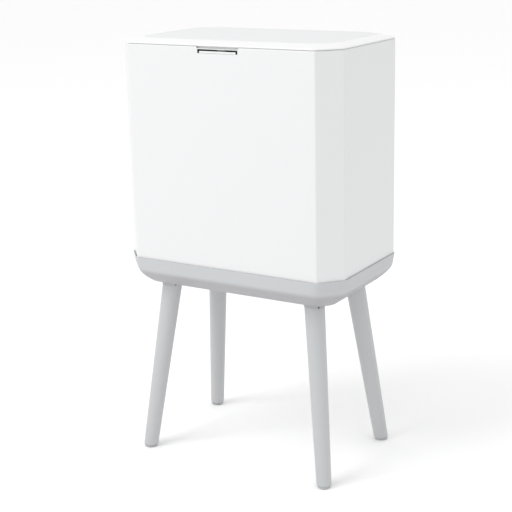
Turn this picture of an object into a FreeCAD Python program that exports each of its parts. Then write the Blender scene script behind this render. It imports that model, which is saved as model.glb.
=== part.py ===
"""Touch-open waste bin on four splayed legs.

A white sheet-metal sleeve with chamfered corners stands in a grey moulded base tray on four tapered
legs.  A moulded frame closes the top of the sleeve, carries the lid on two rear hinges and holds the
latch behind a small release button at the front.  A loose bucket stands inside.

Frame: origin on the floor under the middle of the bin, +X to the right, +Y to the back, +Z up.
Units are millimetres.
"""
import FreeCAD
import Part
import math
import os

Vec = FreeCAD.Vector

# ---- overall sizes -------------------------------------------------------------------------------
WIDTH = 400.0            # outside of the sleeve, left to right
DEPTH = 250.0            # outside of the sleeve, front to back
SEAM_Z = 347.0           # top of the base tray's rim, where the white sleeve begins
SHELL_TOP_Z = 701.0      # rolled top edge of the sleeve
CHAMFER_X = 31.0         # corner chamfer, measured along the front
CHAMFER_Y = 34.5         # corner chamfer, measured along the side

# ---- sleeve --------------------------------------------------------------------------------------
SHEET = 1.0              # thickness of the sleeve's sheet
SHELL_CORNER_R = 4.0     # bend radius of the four chamfers' edges
TOP_EDGE_R = 2.5         # radius rolled along the top edge; the lid's back edge swings round it
TOP_FLANGE = 5.0         # inward flange at the top, past the sheet
FOOT_FLANGE = 13.0       # inward flange at the bottom, past the sheet

# ---- base tray -----------------------------------------------------------------------------------
RIM_PROUD = 2.5          # rim stands out from the sleeve
RIM_PROUD_LOW = 0.5      # the same at the crease, after the draft of the upper band
UPPER_BAND = 22.5        # height of the upper band, rim to crease
LOWER_BAND = 26.0        # height of the slanted lower band
BELLY_INSET = 27.0       # inset of the underside from the sleeve's face
RIM_HEIGHT = 6.0         # rim above the ledge that the sleeve stands on
RIM_GAP = 1.2            # shadow gap, rim to sleeve
LEDGE = 5.0              # thickness of the ledge
LEDGE_WIDTH = 22.0       # ledge, measured in from the sleeve's face
TRAY_WALL = 4.0          # wall of the tray
TRAY_FLOOR = 3.0         # floor of the tray
TRAY_CORNER_R = 18.0     # plan radius of the rim's corners
BELLY_CORNER_R = 24.0    # plan radius of the underside's corners
FLOOR_SHEET = 2.0        # loose floor panel that the bucket stands on
PANEL_GAP = 0.6          # floor panel to the sleeve's bottom flange

# ---- legs ----------------------------------------------------------------------------------------
LEG_TOP = (137.0, 72.0)      # leg axis at the underside of the socket collar
LEG_FOOT = (171.0, 108.0)    # leg axis on the floor
LEG_TOP_R = 16.5
LEG_FOOT_R = 12.2
COLLAR_R = 17.4          # moulded socket collar under the tray
COLLAR_DROP = 7.5        # collar below the tray's underside
SPIGOT_R = 11.0          # spigot of the leg inside the socket
SPIGOT_LENGTH = 26.0
SPIGOT_GAP = 0.15
SOCKET_R = 16.0          # socket boss inside the tray
SOCKET_ROOF = 4.0        # roof of the socket, under the bolt's head
SOCKET_END_GAP = 0.5
BOLT_R = 4.0
BOLT_LENGTH = 34.0
BOLT_HEAD_R = 7.5
BOLT_HEAD = 4.0
BOLT_GAP = 0.2
PAD_HEIGHT = 4.0         # rubber pad under each leg
PAD_INSET = 1.2
SLIT_WIDTH = 2.2         # twist-lock marks on the collar
SLIT_DEPTH = 1.2
SLIT_HEIGHT = 3.6
SLIT_TURN = 52.0         # marks to either side of the collar's front, in degrees

# ---- top frame -----------------------------------------------------------------------------------
FIT_GAP = 0.2            # frame to the sleeve's sheet
FRAME_PLATE = 2.5
FRAME_SKIRT = 2.5
FRAME_DEPTH = 24.0       # height of the frame's skirt
OPENING_SIDE = 14.0      # sleeve face to opening, at the sides
OPENING_FRONT = 25.0     # sleeve face to opening, at the front
OPENING_BACK = 21.0      # sleeve face to opening, at the back
OPENING_CHAMFER = 18.0
OPENING_R = 12.0

# ---- lid -----------------------------------------------------------------------------------------
LID_GAP = 0.4            # shadow gap between sleeve and lid
LID_EDGE = 1.9           # height of the lid's upright edge
LID_CROWN = 5.0          # rise of the sloped border
LID_CORNER_R = 12.0
BORDER_SIDE = 23.0       # border, sleeve face to inlaid panel
BORDER_FRONT = 30.0
BORDER_BACK = 22.0
LID_WALL = 2.5           # wall of the lid under the inlaid panel
LID_HOLLOW_INSET = 10.0  # hollow under the lid, in from the inlaid panel's outline
PANEL_CHAMFER = 26.0
PANEL_R = 40.0
PANEL_SHEET = 1.2
PANEL_JOINT = 0.2        # joint line round the inlaid panel
LINER_SIDE_GAP = 2.0     # liner to the frame's opening
LINER_BACK_GAP = 2.5
LINER_DEPTH = 11.5
LINER_WALL = 2.0
BUFFER_R = 2.6
BUFFER_GAP = 0.2
BUFFER_Y = 62.0

# ---- lid hinges ----------------------------------------------------------------------------------
HINGE_X = 120.0          # inner end of each hinge
HINGE_INSET = 3.0        # axis in from the sleeve's back face
KNUCKLE_R = 3.4
PIN_R = 1.5
PIN_GAP = 0.05
OUTER_KNUCKLE = 7.0
LID_KNUCKLE = 10.0
COIL_ROOM = 11.4
KNUCKLE_GAP = 0.3
PIN_OVERHANG = 0.6
NOTCH_GAP = 2.2          # sleeve and frame to the swinging knuckle
SPRING_COIL_R = 2.3
SPRING_WIRE_R = 0.4
SPRING_LEG = 9.0
COIL_GAP = 0.15          # between the turns of every spring

# ---- release button and latch --------------------------------------------------------------------
WINDOW_HALF = 36.5       # half width of the cut-out in the sleeve
WINDOW_DROP = 10.6       # cut-out below the sleeve's top edge
SCOOP_DROP = 3.2         # finger scoop's floor below the sleeve's top edge
SCOOP_FLOOR = 1.2
SCOOP_FLARE = 3.0        # scoop wider than the button on each side, at the top
SCOOP_DEPTH = 3.6
SCOOP_WALL = 1.2
BUTTON_SIDE_GAP = 3.4
BUTTON_TOP_GAP = 2.8
BUTTON_FOOT_GAP = 0.3
BUTTON_LIP = 1.6         # thickness of the button's face at its top edge
BUTTON_LIP_HEIGHT = 2.4
BUTTON_EDGE_R = 0.4
BUTTON_WALL = 2.2
BUTTON_STANDOFF = 0.4    # behind the sleeve's sheet
BUTTON_AXIS_DROP = 21.0  # button's axis below the sleeve's top edge
BUTTON_AXIS_BACK = 6.0   # button's axis behind the sleeve's face
BARREL_R = 3.0
LATCH_PIN_R = 1.25
BARREL_INSET = 3.1       # barrel shorter than the button, at each end
RIB_X = 19.5
RIB_WIDTH = 3.0
RIB_HEIGHT = 3.5
RIB_DROP = 14.0          # underside of the ribs below the sleeve's top edge
RIB_GAP = 0.4
HOOK_AXIS_DROP = 23.0
HOOK_AXIS_BACK = 18.5
HOOK_INSET = 4.0         # hook narrower than the button's barrel, at each side
HOOK_WALL = 2.0
HOOK_PLATE_FRONT = 1.2   # hook plate's front, ahead of its axis
HOOK_HEIGHT = 14.5       # hook's top edge above its axis
NOSE_HALF = 7.0
NOSE_HEIGHT = 2.5
NOSE_REACH = 2.5
CATCH_GAP = 0.3          # nose to the catch's lip
CATCH_LIP = 1.5
CATCH_LIP_HEIGHT = 2.4
CATCH_LIFT = 1.6         # play between lip and nose
CATCH_WALL = 2.0
CATCH_FOOT_X = 14.0
CATCH_FOOT_Y = 12.0
CATCH_FOOT_AHEAD = 4.8   # foot plate ahead of the blade's middle
CATCH_FOOT = 1.0
CATCH_SCREW_X = 11.0
CATCH_SCREW_HEAD = 0.2
SLOT_HALF_X = 10.0
CHEEK_CLEAR = 5.5        # latch housing's cheeks, outside the cut-out
CHEEK_WALL = 2.5
HOUSING_FLOOR_DROP = 29.0
HOUSING_FLOOR = 2.5
EAR_LENGTH = 12.0
EAR_WALL = 2.4
EAR_GAP = 0.3
HOUSING_END_GAP = 0.5
HOUSING_TIP = 0.75       # plastic left above the housing screws' tips
LATCH_WIRE_R = 0.35
LATCH_COIL_R = 1.95
LATCH_COIL_LENGTH = 6.0
LATCH_COIL_GAP = 1.0     # coil to the barrel beside it

# ---- bucket --------------------------------------------------------------------------------------
BUCKET_TOP_DROP = 15.0   # bucket's flange below the sleeve's top edge
BUCKET_CLEAR = 3.0       # flange to the frame's opening
BUCKET_FLANGE = 7.0
BUCKET_FLANGE_T = 2.0
BUCKET_WALL = 2.0
BUCKET_TAPER = 15.0      # draw-in of each side, top to bottom
BUCKET_CHAMFER = 24.0
BUCKET_R = 26.0
GRIP_HALF = 40.0         # finger grips in the bucket's left and right flanges
GRIP_DEPTH = 3.5

# ---- screws --------------------------------------------------------------------------------------
BASE_SCREW_R = 2.0
BASE_SCREW_HEAD_R = 3.6
BASE_SCREW_HEAD = 2.2
BASE_SCREW_LENGTH = 4.4
BASE_SCREW_SHARE_X = 0.3     # screws from the middle, as a share of the width
BASE_SCREW_SHARE_Y = 0.2     # the same along the depth
LINER_SCREW_SHARE_X = 0.35
LINER_SCREW_SHARE_Y = 0.28
SMALL_SCREW_R = 1.2
SMALL_SCREW_HEAD_R = 2.3
SMALL_SCREW_HEAD = 1.6

# ---- making allowances ---------------------------------------------------------------------------
CUT_OVER = 1.0           # every cutter runs past the face that it cuts
JOIN_IN = 0.5            # every joined piece runs into its neighbour
SMALL = 0.01             # tolerance when edges are picked by their place
TOP_OVER = 0.1           # bucket's hollow runs past its rim
LEG_SPARE = 10.0         # leg cones run past both ends before they are trimmed
SLOT_CLEAR = 0.5
ARM_BACK = 3.0           # knuckle arms reach into the frame's plate
ARM_RISE = 0.4

# ---- derived places ------------------------------------------------------------------------------
HALF_X = WIDTH / 2.0
HALF_Y = DEPTH / 2.0
CREASE_Z = SEAM_Z - UPPER_BAND
BELLY_Z = CREASE_Z - LOWER_BAND
LEDGE_Z = SEAM_Z - RIM_HEIGHT
COLLAR_Z = BELLY_Z - COLLAR_DROP
PANEL_TOP_Z = LEDGE_Z + FLOOR_SHEET
FRAME_TOP_Z = SHELL_TOP_Z - SHEET - 0.5 * FIT_GAP
FRAME_LOW_Z = FRAME_TOP_Z - FRAME_DEPTH
LID_Z = SHELL_TOP_Z + LID_GAP
LID_TOP_Z = LID_Z + LID_EDGE + LID_CROWN
HINGE_Y = HALF_Y - HINGE_INSET
HINGE_Z = LID_Z - KNUCKLE_R - KNUCKLE_GAP
NOTCH_R = KNUCKLE_R + NOTCH_GAP
HINGE_LENGTH = 2.0 * OUTER_KNUCKLE + LID_KNUCKLE + COIL_ROOM + 3.0 * KNUCKLE_GAP
WINDOW_Z = SHELL_TOP_Z - WINDOW_DROP
SCOOP_Z = SHELL_TOP_Z - SCOOP_DROP
SCOOP_LOW_Z = SCOOP_Z - SCOOP_FLOOR
SCOOP_HALF = WINDOW_HALF + SCOOP_FLARE
SCOOP_BACK_Y = -HALF_Y + SCOOP_DEPTH
BUTTON_HALF = WINDOW_HALF - BUTTON_SIDE_GAP
BUTTON_BARREL_HALF = BUTTON_HALF - BARREL_INSET
HOOK_HALF = BUTTON_BARREL_HALF - HOOK_INSET
CHEEK_X = WINDOW_HALF + CHEEK_CLEAR
BUTTON_TOP_Z = SCOOP_LOW_Z - BUTTON_TOP_GAP
BUTTON_PLATE_Y = -HALF_Y + SHEET + BUTTON_STANDOFF
BUTTON_Y = -HALF_Y + BUTTON_AXIS_BACK
BUTTON_Z = SHELL_TOP_Z - BUTTON_AXIS_DROP
HOOK_Y = -HALF_Y + HOOK_AXIS_BACK
HOOK_Z = SHELL_TOP_Z - HOOK_AXIS_DROP
HOOK_FACE_Y = HOOK_Y - HOOK_PLATE_FRONT
NOSE_Y = HOOK_FACE_Y - NOSE_REACH
NOSE_Z = HOOK_Z + HOOK_HEIGHT - NOSE_HEIGHT
CATCH_LIP_Z = NOSE_Z - CATCH_LIFT - CATCH_LIP_HEIGHT
CATCH_LIP_Y = NOSE_Y - CATCH_GAP
CATCH_BACK_Y = CATCH_LIP_Y - CATCH_LIP
CATCH_FRONT_Y = CATCH_BACK_Y - CATCH_WALL
HOUSING_LOW_Z = SHELL_TOP_Z - HOUSING_FLOOR_DROP


def export(shape, name):
    """Write one closed solid, or a group of equal ones, as a STEP file."""
    shape.exportStep("parts/" + name + ".step")


def box(x0, x1, y0, y1, z0, z1):
    """Upright block between two corners."""
    return Part.makeBox(x1 - x0, y1 - y0, z1 - z0, Vec(x0, y0, z0))


def rod_x(x0, x1, y, z, radius):
    """Round bar along X."""
    return Part.makeCylinder(radius, x1 - x0, Vec(x0, y, z), Vec(1, 0, 0))


def rod_z(x, y, z0, z1, radius):
    """Round bar along Z."""
    return Part.makeCylinder(radius, z1 - z0, Vec(x, y, z0), Vec(0, 0, 1))


def join(shapes):
    """One solid from several that overlap."""
    return shapes[0].fuse(shapes[1:]).removeSplitter()


def rounded(points, radius, z):
    """Closed wire through the points, each corner rounded by the radius."""
    count = len(points)
    starts = []
    mids = []
    ends = []
    for i in range(count):
        here = Vec(points[i][0], points[i][1], z)
        before = Vec(points[i - 1][0], points[i - 1][1], z)
        after = Vec(points[(i + 1) % count][0], points[(i + 1) % count][1], z)
        back = (before - here).normalize()
        on = (after - here).normalize()
        half = back.getAngle(on) / 2.0
        reach = radius / math.tan(half)
        inward = (back + on).normalize()
        centre = here + inward * (radius / math.sin(half))
        starts.append(here + back * reach)
        mids.append(centre - inward * radius)
        ends.append(here + on * reach)
    edges = []
    for i in range(count):
        edges.append(Part.Arc(starts[i], mids[i], ends[i]).toShape())
        edges.append(Part.LineSegment(ends[i], starts[(i + 1) % count]).toShape())
    return Part.Wire(edges)


def octagon(x0, x1, y0, y1, cut_x, cut_y):
    """Rectangle with cut corners, as points in order."""
    return [(x0 + cut_x, y0), (x1 - cut_x, y0), (x1, y0 + cut_y), (x1, y1 - cut_y),
            (x1 - cut_x, y1), (x0 + cut_x, y1), (x0, y1 - cut_y), (x0, y0 + cut_y)]


def sleeve_outline(grow, radius, z):
    """Outline of the sleeve, moved out by grow on every face, chamfers included."""
    slant = math.hypot(CHAMFER_X, CHAMFER_Y)
    cut_x = CHAMFER_X + grow * (1.0 + (CHAMFER_X - slant) / CHAMFER_Y)
    cut_y = CHAMFER_Y + grow * (1.0 + (CHAMFER_Y - slant) / CHAMFER_X)
    x1 = HALF_X + grow
    y1 = HALF_Y + grow
    return rounded(octagon(-x1, x1, -y1, y1, cut_x, cut_y), radius, z)


def prism(wire, height):
    """Solid above a flat closed wire."""
    return Part.Face(wire).extrude(Vec(0, 0, height))


def sleeve_prism(grow, radius, z0, z1):
    """Upright block with the sleeve's outline."""
    return prism(sleeve_outline(grow, radius, z0), z1 - z0)


def loft(wires):
    """Ruled solid through closed wires."""
    return Part.makeLoft(wires, True, True)


def opening_prism(grow, z0, z1):
    """Block with the outline of the frame's opening, moved out by grow."""
    points = octagon(-HALF_X + OPENING_SIDE - grow, HALF_X - OPENING_SIDE + grow,
                     -HALF_Y + OPENING_FRONT - grow, HALF_Y - OPENING_BACK + grow,
                     OPENING_CHAMFER, OPENING_CHAMFER)
    return prism(rounded(points, OPENING_R, z0), z1 - z0)


def hinge_spans():
    """Left ends of the two hinges, with the side each stands on."""
    return [("left", -HINGE_X - HINGE_LENGTH), ("right", HINGE_X)]


def hinge_stations(start):
    """Places along one hinge: first knuckle, lid knuckle, coil, last knuckle."""
    lid0 = start + OUTER_KNUCKLE + KNUCKLE_GAP
    coil0 = lid0 + LID_KNUCKLE + KNUCKLE_GAP
    last0 = coil0 + COIL_ROOM + KNUCKLE_GAP
    return lid0, coil0, last0


def window_cut(grow):
    """Cut-out of the sleeve for the button, flared above the scoop's floor."""
    y0 = -HALF_Y - CUT_OVER
    depth = SCOOP_DEPTH + CUT_OVER
    half = WINDOW_HALF + grow
    top = SHELL_TOP_Z + CUT_OVER
    flare = half + SCOOP_FLARE * (top - SCOOP_Z) / SCOOP_DROP
    low = box(-half, half, y0, y0 + depth, WINDOW_Z, top)
    points = [Vec(-half, y0, SCOOP_Z), Vec(half, y0, SCOOP_Z), Vec(flare, y0, top),
              Vec(-flare, y0, top), Vec(-half, y0, SCOOP_Z)]
    wedge = Part.Face(Part.makePolygon(points)).extrude(Vec(0, depth, 0))
    return low.fuse(wedge)


def hinge_notches():
    """Room for the hinges in the sleeve's back wall."""
    cuts = []
    for _, start in hinge_spans():
        cuts.append(box(start - KNUCKLE_GAP, start + HINGE_LENGTH + KNUCKLE_GAP,
                        HINGE_Y - NOTCH_R, HALF_Y + CUT_OVER, HINGE_Z - NOTCH_R, SHELL_TOP_Z + CUT_OVER))
    return cuts


def make_body_shell():
    """Folded sleeve with a rolled top flange and a flat bottom flange."""
    outer = sleeve_prism(0.0, SHELL_CORNER_R, LEDGE_Z, SHELL_TOP_Z)
    top_edges = []
    for edge in outer.Edges:
        if edge.BoundBox.ZMin > SHELL_TOP_Z - SMALL:
            top_edges.append(edge)
    outer = outer.makeFillet(TOP_EDGE_R, top_edges)
    inner_r = SHELL_CORNER_R - SHEET
    inside = sleeve_prism(-SHEET, inner_r, LEDGE_Z + SHEET, SHELL_TOP_Z - SHEET)
    mouth = sleeve_prism(-SHEET - TOP_FLANGE, inner_r, SHELL_TOP_Z - 2.0 * SHEET, SHELL_TOP_Z + CUT_OVER)
    foot = sleeve_prism(-SHEET - FOOT_FLANGE, inner_r, LEDGE_Z - CUT_OVER, LEDGE_Z + 2.0 * SHEET)
    holes = [rod_z(x, y, LEDGE_Z - CUT_OVER, LEDGE_Z + 2.0 * SHEET, BASE_SCREW_R + FIT_GAP)
             for x, y in base_screw_places()]
    return outer.cut([inside, mouth, foot, window_cut(0.0)] + hinge_notches() + holes)


def base_screw_places():
    """Eight screws round the sleeve's bottom flange."""
    inset = SHEET + 0.5 * FOOT_FLANGE
    x1 = HALF_X - inset
    y1 = HALF_Y - inset
    along_x = BASE_SCREW_SHARE_X * WIDTH
    along_y = BASE_SCREW_SHARE_Y * DEPTH
    places = []
    for sx in (-1, 1):
        for sy in (-1, 1):
            places.append((sx * along_x, sy * y1))
            places.append((sx * x1, sy * along_y))
    return places


def leg_axis(sx, sy):
    """Foot point on the floor and unit direction up one leg."""
    foot = Vec(sx * LEG_FOOT[0], sy * LEG_FOOT[1], 0.0)
    top = Vec(sx * LEG_TOP[0], sy * LEG_TOP[1], COLLAR_Z)
    return foot, top, (top - foot).normalize()


def corners():
    """The four legs with the words used in their names."""
    return [("front_left", -1, -1), ("front_right", 1, -1), ("rear_left", -1, 1), ("rear_right", 1, 1)]


def above(z, shape):
    """Part of a shape above a height."""
    return shape.common(box(-WIDTH, WIDTH, -WIDTH, WIDTH, z, z + 2.0 * SHELL_TOP_Z))


def below(z, shape):
    """Part of a shape below a height."""
    return shape.common(box(-WIDTH, WIDTH, -WIDTH, WIDTH, z - 2.0 * SHELL_TOP_Z, z))


def leg_cone(sx, sy, inset):
    """Tapered round of one leg, run on past both ends."""
    foot, top, up = leg_axis(sx, sy)
    length = (top - foot).Length
    slope = (LEG_TOP_R - LEG_FOOT_R) / length
    return Part.makeCone(LEG_FOOT_R - slope * LEG_SPARE - inset, LEG_TOP_R + slope * LEG_SPARE - inset,
                         length + 2.0 * LEG_SPARE, foot - up * LEG_SPARE, up)


def make_leg(sx, sy):
    """One turned leg with its spigot and bolt hole."""
    foot, top, up = leg_axis(sx, sy)
    body = below(COLLAR_Z, above(PAD_HEIGHT, leg_cone(sx, sy, 0.0)))
    spigot = Part.makeCylinder(SPIGOT_R, SPIGOT_LENGTH + LEG_TOP_R, top - up * LEG_TOP_R, up)
    depth = BOLT_LENGTH + BOLT_GAP
    hole = Part.makeCylinder(BOLT_R, depth, bolt_seat(sx, sy) - up * depth, up)
    return join([body, spigot]).cut(hole)


def bolt_seat(sx, sy):
    """Underside of the bolt's head, on the roof of the socket."""
    _, top, up = leg_axis(sx, sy)
    return top + up * (SPIGOT_LENGTH + SOCKET_END_GAP + SOCKET_ROOF)


def make_pad(sx, sy):
    """Rubber pad that finishes one leg flat on the floor."""
    return above(0.0, below(PAD_HEIGHT, leg_cone(sx, sy, PAD_INSET)))


def make_leg_bolts():
    """Four flange bolts, screwed down the legs from inside the tray."""
    bolts = []
    for _, sx, sy in corners():
        _, _, up = leg_axis(sx, sy)
        seat = bolt_seat(sx, sy)
        shank = Part.makeCylinder(BOLT_R, BOLT_LENGTH, seat - up * BOLT_LENGTH, up)
        head = Part.makeCylinder(BOLT_HEAD_R, BOLT_HEAD, seat, up)
        bolts.append(join([shank, head]))
    return Part.makeCompound(bolts)


def make_base_tray():
    """Moulded tray: rim, two outer bands, ledge for the sleeve and four leg sockets."""
    outer = loft([sleeve_outline(-BELLY_INSET, BELLY_CORNER_R, BELLY_Z),
                  sleeve_outline(RIM_PROUD_LOW, TRAY_CORNER_R, CREASE_Z)])
    band = loft([sleeve_outline(RIM_PROUD_LOW, TRAY_CORNER_R, CREASE_Z),
                 sleeve_outline(RIM_PROUD, TRAY_CORNER_R, SEAM_Z)])
    slant = (BELLY_INSET + RIM_PROUD_LOW) / LOWER_BAND
    low_inset = BELLY_INSET - slant * TRAY_FLOOR + TRAY_WALL
    ledge_low = LEDGE_Z - LEDGE
    cavity_low = loft([sleeve_outline(-low_inset, BELLY_CORNER_R - TRAY_WALL, BELLY_Z + TRAY_FLOOR),
                       sleeve_outline(-TRAY_WALL, TRAY_CORNER_R - TRAY_WALL, CREASE_Z)])
    cavity_top = sleeve_prism(-TRAY_WALL, TRAY_CORNER_R - TRAY_WALL, CREASE_Z, ledge_low)
    mouth = sleeve_prism(-LEDGE_WIDTH, SHELL_CORNER_R, ledge_low - CUT_OVER, SEAM_Z + CUT_OVER)
    seat = sleeve_prism(RIM_GAP, SHELL_CORNER_R, LEDGE_Z, SEAM_Z + CUT_OVER)
    shell = outer.fuse(band).cut([cavity_low, cavity_top, mouth, seat])
    bosses = []
    bores = []
    for _, sx, sy in corners():
        _, top, up = leg_axis(sx, sy)
        socket_length = SPIGOT_LENGTH + SOCKET_END_GAP
        socket = Part.makeCylinder(SOCKET_R, socket_length + SOCKET_ROOF, top, up)
        collar = Part.makeCylinder(COLLAR_R, 3.0 * COLLAR_DROP, top - up * COLLAR_DROP, up)
        bosses.append(above(COLLAR_Z, socket))
        bosses.append(below(BELLY_Z + TRAY_FLOOR, above(COLLAR_Z, collar)))
        bores.append(Part.makeCylinder(SPIGOT_R + SPIGOT_GAP, socket_length + LEG_TOP_R,
                                       top - up * LEG_TOP_R, up))
        under = bolt_seat(sx, sy) - up * 2.0 * SOCKET_ROOF
        bores.append(Part.makeCylinder(BOLT_R + BOLT_GAP, 3.0 * SOCKET_ROOF, under, up))
        bores.extend(collar_slits(sx, sy))
    for x, y in base_screw_places():
        tip = LEDGE_Z - BASE_SCREW_LENGTH + SHEET - FIT_GAP
        bores.append(rod_z(x, y, tip, LEDGE_Z + CUT_OVER, BASE_SCREW_R))
    return join([shell] + bosses).cut(bores)


def collar_slits(sx, sy):
    """Two short marks cut in a collar, which show where the leg locks."""
    _, top, up = leg_axis(sx, sy)
    slits = []
    for turn in (-1.0, 1.0):
        angle = math.radians(-90.0 + SLIT_TURN * turn)
        x = top.x + COLLAR_R * math.cos(angle)
        y = top.y + COLLAR_R * math.sin(angle)
        half = 0.5 * SLIT_WIDTH
        slits.append(box(x - half, x + half, y - SLIT_DEPTH, y + SLIT_DEPTH, COLLAR_Z - CUT_OVER,
                         COLLAR_Z + SLIT_HEIGHT))
    return slits


def make_floor_panel():
    """Flat sheet that the bucket stands on, loose in the sleeve's bottom flange."""
    inset = SHEET + FOOT_FLANGE + PANEL_GAP
    return sleeve_prism(-inset, SHELL_CORNER_R, LEDGE_Z, PANEL_TOP_Z)


def make_base_screws():
    """Eight pan-head screws through the sleeve's bottom flange."""
    screws = []
    for x, y in base_screw_places():
        shank = rod_z(x, y, LEDGE_Z + SHEET - BASE_SCREW_LENGTH, LEDGE_Z + SHEET, BASE_SCREW_R)
        head = rod_z(x, y, LEDGE_Z + SHEET, LEDGE_Z + SHEET + BASE_SCREW_HEAD, BASE_SCREW_HEAD_R)
        screws.append(join([shank, head]))
    return Part.makeCompound(screws)


def make_top_frame():
    """Moulded frame: top plate, skirt round the opening, finger scoop and hinge knuckles."""
    inner_r = SHELL_CORNER_R - SHEET - FIT_GAP
    plate = sleeve_prism(-SHEET - FIT_GAP, inner_r, FRAME_TOP_Z - FRAME_PLATE, FRAME_TOP_Z)
    skirt = opening_prism(FRAME_SKIRT, FRAME_LOW_Z, FRAME_TOP_Z)
    ring = plate.fuse(skirt).cut(opening_prism(0.0, FRAME_LOW_Z - CUT_OVER, FRAME_TOP_Z + CUT_OVER))
    room = box(-SCOOP_HALF, SCOOP_HALF, -HALF_Y, SCOOP_BACK_Y, SCOOP_Z, FRAME_TOP_Z + CUT_OVER)
    side = SCOOP_HALF + SCOOP_WALL
    scoop_front = -HALF_Y + SHEET + FIT_GAP
    tub = box(-side, side, scoop_front, SCOOP_BACK_Y + SCOOP_WALL, SCOOP_LOW_Z, FRAME_TOP_Z)
    lip_half = WINDOW_HALF - FIT_GAP
    lip = box(-lip_half, lip_half, -HALF_Y, scoop_front + SCOOP_WALL, SCOOP_LOW_Z, SCOOP_Z)
    slot = box(-SLOT_HALF_X, SLOT_HALF_X, SCOOP_BACK_Y + SCOOP_WALL + SLOT_CLEAR, HOOK_Y + SLOT_CLEAR,
               FRAME_TOP_Z - FRAME_PLATE - CUT_OVER, FRAME_TOP_Z + CUT_OVER)
    ring = join([ring, tub, lip]).cut([room, slot])
    ring = ring.cut(frame_hinge_room())
    ring = join([ring] + frame_knuckles())
    bores = [rod_x(start - CUT_OVER, start + HINGE_LENGTH + CUT_OVER, HINGE_Y, HINGE_Z, PIN_R + PIN_GAP)
             for _, start in hinge_spans()]
    for x, y in housing_screw_places():
        bores.append(rod_z(x, y, FRAME_TOP_Z - FRAME_PLATE - CUT_OVER, housing_screw_tip() + FIT_GAP,
                           SMALL_SCREW_R))
    return ring.cut(bores)


def frame_hinge_room():
    """Room in the frame's plate for the swinging knuckles and the spring coils."""
    cuts = []
    for _, start in hinge_spans():
        lid0, coil0, last0 = hinge_stations(start)
        cuts.append(box(start - KNUCKLE_GAP, start + HINGE_LENGTH + KNUCKLE_GAP, HINGE_Y - NOTCH_R,
                        HALF_Y, FRAME_LOW_Z, FRAME_TOP_Z + CUT_OVER))
        cuts.append(box(coil0 - KNUCKLE_GAP, last0, HINGE_Y - SPRING_LEG - CUT_OVER, HALF_Y,
                        FRAME_TOP_Z - FRAME_PLATE - CUT_OVER, FRAME_TOP_Z + CUT_OVER))
    return cuts


def frame_knuckles():
    """Two fixed knuckles for each hinge, on arms from the frame's plate."""
    knuckles = []
    for _, start in hinge_spans():
        _, _, last0 = hinge_stations(start)
        for x0 in (start, last0):
            x1 = x0 + OUTER_KNUCKLE
            arm = box(x0, x1, HINGE_Y - NOTCH_R - ARM_BACK, HINGE_Y, HINGE_Z - KNUCKLE_R,
                      HINGE_Z + ARM_RISE)
            knuckles.append(join([rod_x(x0, x1, HINGE_Y, HINGE_Z, KNUCKLE_R), arm]))
    return knuckles


def make_hinge_pin(start):
    """Steel pin through the three knuckles of one hinge."""
    return rod_x(start - PIN_OVERHANG, start + HINGE_LENGTH + PIN_OVERHANG, HINGE_Y, HINGE_Z, PIN_R)


def coil(x0, length, y, z, coil_r, wire_r):
    """Spring coil along X, with the places of its first and last turn."""
    pitch = 2.0 * wire_r + COIL_GAP
    turns = math.floor((length - 2.0 * wire_r) / pitch)
    helix = Part.makeHelix(pitch, turns * pitch, coil_r)
    section = Part.Wire([Part.makeCircle(wire_r, Vec(coil_r, 0, 0), Vec(0, 1, 0))])
    solid = Part.Wire(helix.Edges).makePipeShell([section], True, True)
    solid.rotate(Vec(0, 0, 0), Vec(0, 1, 0), 90.0)
    solid.translate(Vec(x0 + wire_r, y, z))
    return solid, x0 + wire_r, x0 + wire_r + turns * pitch


def make_lid_spring(start):
    """Torsion spring that lifts the lid: coil on the pin, one leg under the lid, one in the frame."""
    back = Vec(0, -1, 0)
    _, coil0, _ = hinge_stations(start)
    wound, first, last = coil(coil0 + KNUCKLE_GAP, COIL_ROOM - KNUCKLE_GAP, HINGE_Y, HINGE_Z,
                              SPRING_COIL_R, SPRING_WIRE_R)
    low = Part.makeCylinder(SPRING_WIRE_R, SPRING_LEG, Vec(first, HINGE_Y, HINGE_Z - SPRING_COIL_R), back)
    high = Part.makeCylinder(SPRING_WIRE_R, SPRING_LEG, Vec(last, HINGE_Y, HINGE_Z + SPRING_COIL_R), back)
    return join([wound, low, high])


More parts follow.
